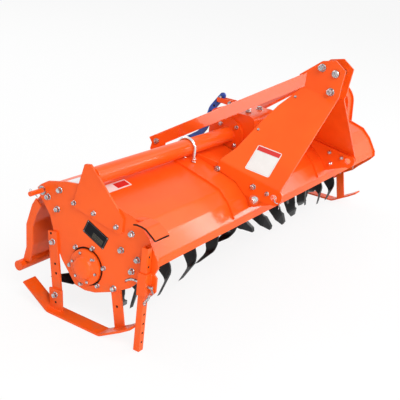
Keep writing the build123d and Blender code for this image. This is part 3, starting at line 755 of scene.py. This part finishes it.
spacer = bmesh.new()
disc(spacer, 7, 0, 10, 16)
GUIDE_AT = (62, 444)
guide = bmesh.new()
copies(guide, middle_head, [facing(at(-17, *GUIDE_AT), (-1, 0, 0), 0.4)])
copies(guide, middle_nut, [facing(at(17, *GUIDE_AT), (1, 0, 0), 0.1)])
copies(guide, pattern(spacer), [facing(at(x, *GUIDE_AT), (1, 0, 0)) for x in (-9, -1)])
finished("guide_bolt", guide, "chassis", "zinc")

# ------------------------------------------------------------------------ input shaft
# Six splines are cut along the input shaft, with a turned groove near its end for the
# latch of the drive shaft and a chamfered tip.
shaft_low, shaft_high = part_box("input_shaft")
spline = bmesh.new()
SPLINES, ROOT_R, TOOTH_R = 6, 14.8, 17.45
outline = []
for k in range(SPLINES):
    centre = radians(60 * k)
    for angle, radius in ((-15, ROOT_R), (-14, TOOTH_R), (14, TOOTH_R), (15, ROOT_R)):
        outline.append((radius, centre + radians(angle)))
face = spline.faces.new([
    spline.verts.new((r / 1000 * cos(a), r / 1000 * sin(a), 0)) for r, a in outline
])
levels = [0, 58, 61, 67, 70, 85, 88]
grows = [1.0, 1.0, 0.86, 0.86, 1.0, 1.0, 0.88]
top_face = face
for low, high, before, after in zip(levels, levels[1:], grows, grows[1:]):
    lifted = bmesh.ops.extrude_discrete_faces(spline, faces=[top_face])["faces"][0]
    ring = lifted.verts[:]
    bmesh.ops.translate(spline, vec=(0, 0, (high - low) / 1000), verts=ring)
    bmesh.ops.scale(spline, vec=(after / before, after / before, 1), verts=ring)
    top_face = lifted
place_at = Vector((0, shaft_low.y + levels[-1] / 1000, (shaft_low.z + shaft_high.z) / 2))
collar = turned([(0, 0), (21, 0), (21, 38), (20, 40), (17.4, 40), (14, 44), (0, 44)], 40)
collar_at = facing(place_at + Vector((0, 0.040, 0)), (0, -1, 0))
bmesh.ops.transform(collar, matrix=collar_at, verts=collar.verts)
spline = copies(bmesh.new(), pattern(spline), [facing(place_at, (0, -1, 0))])
copies(spline, pattern(collar), [Matrix.Identity(4)])
shaft_piece = finished("splined_shaft", spline, "input", "bare_steel", crease=30)
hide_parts("input_shaft")

# --------------------------------------------------------------------- side gear case
# The cover of the side drive is bolted all round, with an oil filler above the rotor and
# a drain plug below it.
CASE_OUT, TOP_R, LOW_R = 1068, 94, 120
case_bolts = bmesh.new()
spots = [
    (TOP_R * cos(radians(a)), TUBE_RISE + TOP_R * sin(radians(a))) for a in (10, 50, 90, 130, 170)
]
spots += [(LOW_R * cos(radians(a)), -LOW_R * sin(radians(a))) for a in (10, 50, 90, 130, 170)]
spots += [
    (sign * (TOP_R + (LOW_R - TOP_R) * share), TUBE_RISE * (1 - share))
    for sign in (-1, 1) for share in (0.36, 0.70)
]
copies(case_bolts, middle_head, [
    facing(at(CASE_OUT, y, z), (1, 0, 0), 0.6 * i) for i, (y, z) in enumerate(spots)
])
copies(case_bolts, plug, [
    facing(at(CASE_OUT, 0, 150), (1, 0, 0), 0.3), facing(at(CASE_OUT, 0, -84), (1, 0, 0), 0.1),
])
finished("side_case_bolts", case_bolts, "chassis", "zinc")

# ------------------------------------------------------------------- stand guard edge
# A thin black rod along the free edges of the bent cap above the stand, along its outer
# side and round its front, is painted shadow of the gap under those edges.
edge_line = [(-222, 242), (-236, 245), (-255, 244), (-272, 240), (-292, 227), (-312, 212)]
edge_shade_rod = rod([at(-1046, y, z) for y, z in edge_line] + [at(-972, -313, 211)], 3.0, 8)
edge_shade_rod = copies(bmesh.new(), edge_shade_rod, [Matrix.Identity(4)])
finished("guard_edging", edge_shade_rod, "chassis", "black_steel", finish=painted_shade_black)

# ------------------------------------------------------------------------ stand fittings
# The stand's pin has a pull ring, and a short chain ties it to the sleeve. The leg has a
# row of holes for the pin on its front.
STAND_X, STAND_Y = -1016.5, -263
chain_shape = bmesh.new()
copies(chain_shape, ring_of(13, 1.5), [
    facing(at(STAND_X + 3, STAND_Y - 32, 17), (0.55, -0.4, 0.25), 0.0),
])
link = rod([
    (0.0055 * cos(a) + (0.0045 if abs(a) < pi / 2 else -0.0045), 0.0040 * sin(a), 0)
    for a in (radians(-90 + 30 * (k if k < 7 else k - 1)) for k in range(13))
], 1.1, 8, closed=True)
start, stop = at(STAND_X, STAND_Y - 31, 6), at(STAND_X - 13, STAND_Y - 19, -26)
LINKS = 5
for k in range(LINKS):
    share = (k + 0.5) / LINKS
    spot = start.lerp(stop, share) - Vector((0, 0, 0.004 * sin(pi * share)))
    along = (stop - start).normalized()
    side_way = along.cross(Vector((0, 1, 0))).normalized()
    turn = in_plane(spot, along, side_way if k % 2 else along.cross(side_way))
    copies(chain_shape, link, [turn])
copies(chain_shape, ring_of(7, 1.3), [facing(at(STAND_X - 13, STAND_Y - 18, -30), (0.8, -0.5, 0))])
finished("stand_pin_chain", chain_shape, "chassis", "zinc")

leg_holes = [
    facing(at(STAND_X, STAND_Y - 12, 28 - 35.5 * k), (0, -1, 0)) for k in range(-3, 7) if k != 0
]
holes("stand_holes", leg_holes, 4.2, "stand")

# --------------------------------------------------------------------- gauge bar fittings
# The blue bar has a row of holes for the stop, and clips hold the pin at its foot.
bar_spots = [(176, 333), (170, 358), (163, 383), (149, 413), (133, 436)]
bar_holes = [facing(at(s * 4, y, z), (s, 0, 0)) for s in (-1, 1) for y, z in bar_spots]
holes("gauge_bar_holes", bar_holes, 5.5, "bar", "blue_paint")
clips = copies(bmesh.new(), cotter_mesh, [
    facing(at(-18, 272, 226), (1, 0.1, 0), 0.8), facing(at(18, 272, 226), (1, 0.1, 0), 2.2),
])
finished("bar_pin_cotters", clips, "board", "zinc")

# ---------------------------------------------------------------------- lower link rings
# A split ring with two links of chain, for the linch pin of the tractor's lower link,
# hangs in each ear.
EAR_X = 374
ears = bmesh.new()
for sign in (-1, 1):
    copies(ears, ring_of(14, 1.8), [facing(at(sign * EAR_X, -404, 212), (0.75 * sign, -0.6, 0.3))])
    copies(ears, link, [
        facing(at(sign * EAR_X, -412, 194 - 8 * k), (0.3, -1, 0), pi / 2) for k in range(2)
    ])
finished("lower_link_rings", ears, "chassis", "zinc")

# -------------------------------------------------------------------------- weld beads
# Fillet welds join the tubes, straps, lugs and sleeve to the plates: overlapping ripples
# of weld metal, painted over with the rest.
ripple = bmesh.new()
bmesh.ops.create_icosphere(ripple, subdivisions=2, radius=0.001)
ripple = pattern(ripple)


def bead(shape, points, size=3.4, closed=False):
    """Overlapping ripples along a line of points."""
    for start, stop in zip(points, points[1:] + (points[:1] if closed else [])):
        run = stop - start
        count = max(1, ceil(run.length / (size * 0.0011)))
        lean = run.to_track_quat("X", "Z").to_matrix().to_4x4()
        grow = Matrix.Diagonal((size * 0.85, size, size, 1))
        copies(shape, ripple, [
            Matrix.Translation(start.lerp(stop, (k + 0.5) / count)) @ lean @ grow
            for k in range(count)
        ])


def circle_line(x, y, z, radius, segments=24):
    return [
        at(x, y + radius * cos(2 * pi * k / segments), z + radius * sin(2 * pi * k / segments))
        for k in range(segments)
    ]


welds = bmesh.new()
bead(welds, circle_line(-998, 0, TUBE_RISE, TUBE_R), closed=True)
for sign in (-1, 1):
    bead(welds, circle_line(sign * TUBE_FLANGE_OUT, 0, TUBE_RISE, TUBE_R), closed=True)
    bead(welds, [at(sign * 357, -30, 290), at(sign * 357, -148, 259), at(sign * 357, -205, 241)])
    bead(welds, [at(sign * 371, -100, 273), at(sign * 371, -148, 260)])
    bead(welds, [at(sign * STRAP_OUT, -146, -190), at(sign * STRAP_OUT, -184, -176)])
    bead(welds, [at(sign * LUG_OUT, 96, -213), at(sign * LUG_OUT, 146, -213)])
    bead(welds, [at(sign * 990, 110, 279), at(sign * 990, 20, 290), at(sign * 990, -148, 243)])
for y in (-16.5, 16.5):
    bead(welds, [at(-1001, STAND_Y + y, -4), at(-1001, STAND_Y + y, 72)])
finished("weld_beads", welds, "chassis", "orange_paint")

# ------------------------------------------------------------------------ rotor details
# Each blade is held to its flange by two bolts, and a weld runs round the rotor tube on
# both sides of every flange.
rotor_bolt = bmesh.new()
disc(rotor_bolt, 9.8, 0, 7.5, 6)
disc(rotor_bolt, 9.8, 7.5, 8.6, 6, top=8.4)
rotor_bolt = pattern(rotor_bolt)
rotor_nut = bmesh.new()
disc(rotor_nut, 9.8, 0, 8.5, 6)
disc(rotor_nut, 5.2, 8.5, 13, 8)
rotor_nut = pattern(rotor_nut)
FLANGES, PITCH, PER_SIDE, BOLT_CIRCLE = 9, 225, 3, 77
FIRST_TURN, NEXT_TURN, RIGHT_HAND_TURN = -25, 18, 50.5
rotor_bolts, rotor_welds = bmesh.new(), bmesh.new()
for i in range(FLANGES):
    x = (i - (FLANGES - 1) / 2) * PITCH
    for sign in (-1, 1):
        bead(rotor_welds, circle_line(x + sign * 6, 0, 0, 38.5, 20), 4.4, closed=True)
        for k in range(PER_SIDE):
            turn = FIRST_TURN + NEXT_TURN * i + 360 / PER_SIDE * k
            turn = radians(turn + (RIGHT_HAND_TURN if sign > 0 else 0))
            for offset in (-18, 22):
                y = offset * cos(turn) - BOLT_CIRCLE * sin(turn)
                z = offset * sin(turn) + BOLT_CIRCLE * cos(turn)
                head = facing(at(x + sign * 13, y, z), (sign, 0, 0), turn)
                nut = facing(at(x - sign * 5, y, z), (-sign, 0, 0), turn)
                copies(rotor_bolts, rotor_bolt, [head])
                copies(rotor_bolts, rotor_nut, [nut])
finished("blade_bolts", rotor_bolts, "rotor", "black_steel")
finished("rotor_welds", rotor_welds, "rotor", "black_steel")

# -------------------------------------------------------------------- floor and light
# A pale studio floor and a white sky, lit by a large soft key light from the front left, a
# fill, a light from behind, a small one that glints in the hood and a faint one low down.
def looked_at(tree):
    """1 where the eye sees this directly, in a reflection or through glass, 0 for light."""
    rays = tree.nodes.new("ShaderNodeLightPath")
    seen = Wire(rays.outputs["Is Camera Ray"])
    for path in ("Is Glossy Ray", "Is Transmission Ray"):
        seen = seen.maths("MAXIMUM", Wire(rays.outputs[path]))
    return seen


floor_mesh = bpy.data.meshes.new("studio_floor")
slab = bmesh.new()
bmesh.ops.create_grid(slab, x_segments=1, y_segments=1, size=40)
slab.to_mesh(floor_mesh)
slab.free()
floor = bpy.data.objects.new("studio_floor", floor_mesh)
bpy.context.scene.collection.objects.link(floor)
material, surface, place = new_finish("studio floor", Roughness=0.95, Specular_IOR_Level=0.0)
surface.inputs["Base Color"].default_value = (0.9, 0.9, 0.9, 1)
glow = place.make("ShaderNodeEmission", {}, {"Color": (1, 1, 1, 1), "Strength": 1.0})
tree = material.node_tree
blend = tree.nodes.new("ShaderNodeMixShader")
tree.links.new((looked_at(tree) * 0.86).socket, blend.inputs[0])
tree.links.new(surface.outputs[0], blend.inputs[1])
tree.links.new(glow.socket, blend.inputs[2])
tree.links.new(blend.outputs[0], tree.nodes["Material Output"].inputs["Surface"])
floor_mesh.materials.append(material)

for name, spot, size, watts in (
    ("key light", (-4.0, -5.5, 6.5), 4.5, 430),
    ("fill light", (4.5, -4.0, 4.0), 5.0, 120),
    ("rear light", (0.5, 6.0, 6.0), 5.0, 160),
    ("window light", (2.8, -2.3, 1.4), 0.7, 26),
    ("low light", (-2.1, -1.45, 0.12), 0.9, 9),
):
    lamp = bpy.data.lights.new(name, "AREA")
    lamp.size = size
    lamp.energy = watts
    holder = bpy.data.objects.new(name, lamp)
    holder.location = spot
    holder.visible_camera = False
    aim = Vector((0, 0, 0.4)) - Vector(spot)
    holder.rotation_euler = aim.to_track_quat("-Z", "Y").to_euler()
    bpy.context.scene.collection.objects.link(holder)

world = bpy.data.worlds.new("studio")
world.use_nodes = True
background = world.node_tree.nodes["Background"]
background.inputs["Color"].default_value = (1, 1, 1, 1)
strength = looked_at(world.node_tree) * 0.45 + 0.55
world.node_tree.links.new(strength.socket, background.inputs["Strength"])
bpy.context.scene.world = world

# ------------------------------------------------------------------------------ camera
# Standing at the front left corner, a little above the hitch mast.
camera = bpy.data.objects.new("camera", bpy.data.cameras.new("camera"))
camera.data.lens = 67.6
eye = at(-2863.2, -1548.2, 1175.6)
right = Vector((0.54464, -0.83166, 0.10822))
up = Vector((0.23448, 0.27489, 0.93245))
back = Vector((-0.80522, -0.48248, 0.34472))
camera.matrix_world = Matrix((
    (right.x, up.x, back.x, eye.x),
    (right.y, up.y, back.y, eye.y),
    (right.z, up.z, back.z, eye.z),
    (0, 0, 0, 1),
))
bpy.context.scene.collection.objects.link(camera)
bpy.context.scene.camera = camera
bpy.context.scene.view_settings.view_transform = "Standard"
